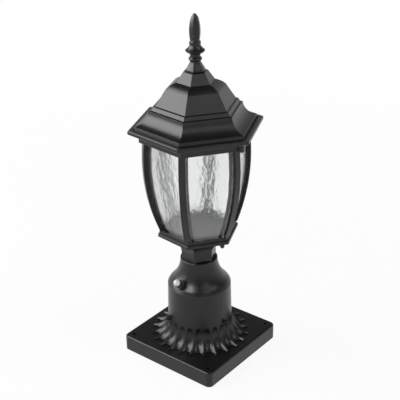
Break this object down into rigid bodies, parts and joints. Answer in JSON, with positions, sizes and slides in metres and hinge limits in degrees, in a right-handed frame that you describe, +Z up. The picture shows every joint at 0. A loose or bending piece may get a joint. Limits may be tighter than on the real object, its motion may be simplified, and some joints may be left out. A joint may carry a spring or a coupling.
{
  "type": "post top lantern",
  "caption": "Hexagonal post top lantern with bowed glass panes, stepped roof, spire finial, bell fitter with fluted skirt, dusk sensor and square pier base.",
  "frame": {"origin": "middle of the base plate's underside", "axes": "+Z up along the post, X and Y square to the base plate's sides; the lantern's first corner points 6.25 degrees clockwise from +X seen from above"},
  "size_m": [0.1754, 0.1614, 0.4665],
  "materials": {
    "black_paint": "cast aluminium, satin black powder coat",
    "black_screw": "steel, black coated",
    "zinc_steel": "zinc plated steel",
    "water_glass": "clear water glass with vertical ripples",
    "black_nylon": "moulded black nylon",
    "white_lens": "translucent white lens",
    "opal_plastic": "frosted diffuser",
    "bare_aluminium": "bare sheet aluminium",
    "white_board": "white solder mask",
    "chip_yellow": "phosphor",
    "driver_case": "moulded driver case",
    "lead_sheath": "soft sheath"
  },
  "bodies": {
    "base": {"base_plate": "black_paint", "stub_tube": "black_paint", "stub_flange": "black_paint", "stub_screws": "zinc_steel"},
    "head": {"fitter": "black_paint", "photocell_barrel": "black_nylon", "photocell_lens": "white_lens", "photocell_body": "black_nylon", "photocell_nut": "black_nylon", "photocell_lead": "lead_sheath", "stem": "zinc_steel", "stem_nuts": "zinc_steel", "lantern_pan": "black_paint", "pan_studs": "zinc_steel", "pan_washers": "black_screw", "pan_cap_nuts": "black_screw", "led_carrier": "bare_aluminium", "carrier_screws": "zinc_steel", "led_board": "white_board", "led_chips": "chip_yellow", "led_driver": "driver_case", "led_connector": "driver_case", "diffuser": "opal_plastic", "bottom_rail": "black_paint", "rail_screws": "zinc_steel", "post_1": "black_paint", "post_2": "black_paint", "post_3": "black_paint", "post_4": "black_paint", "post_5": "black_paint", "post_6": "black_paint", "pane_1": "water_glass", "pane_2": "water_glass", "pane_3": "water_glass", "pane_4": "water_glass", "pane_5": "water_glass", "pane_6": "water_glass", "top_frame": "black_paint", "frame_screws": "zinc_steel"},
    "set_screw_1": {"set_screw_1": "zinc_steel"},
    "set_screw_2": {"set_screw_2": "zinc_steel"},
    "set_screw_3": {"set_screw_3": "zinc_steel"},
    "roof": {"roof": "black_paint", "finial_washer": "black_paint", "finial_nut": "zinc_steel"},
    "roof_screw_1": {"roof_screw_1": "black_screw"},
    "roof_screw_2": {"roof_screw_2": "black_screw"},
    "finial": {"finial": "black_paint", "finial_stud": "zinc_steel"}
  },
  "joints": [
    {"name": "swivel", "type": "hinge", "parent": "base", "child": "head", "pos_m": [0, 0, 0.096], "axis": [0, 0, 1], "range_deg": [-180, 180]},
    {"name": "set_screw_1_out", "type": "slide", "parent": "head", "child": "set_screw_1", "axis": [0.9998, -0.0218, 0], "range_m": [0, 0.004]},
    {"name": "set_screw_2_out", "type": "slide", "parent": "head", "child": "set_screw_2", "axis": [-0.481, 0.8767, 0], "range_m": [0, 0.004]},
    {"name": "set_screw_3_out", "type": "slide", "parent": "head", "child": "set_screw_3", "axis": [-0.5188, -0.8549, 0], "range_m": [0, 0.004]},
    {"name": "roof_lift", "type": "slide", "parent": "head", "child": "roof", "axis": [0, 0, 1], "range_m": [0, 0.09]},
    {"name": "roof_screw_1_out", "type": "slide", "parent": "head", "child": "roof_screw_1", "axis": [0, 0, -1], "range_m": [0, 0.007]},
    {"name": "roof_screw_2_out", "type": "slide", "parent": "head", "child": "roof_screw_2", "axis": [0, 0, -1], "range_m": [0, 0.007]},
    {"name": "finial_turn", "type": "hinge", "parent": "roof", "child": "finial", "pos_m": [0, 0, 0.397], "axis": [0, 0, 1], "continuous": true}
  ]
}
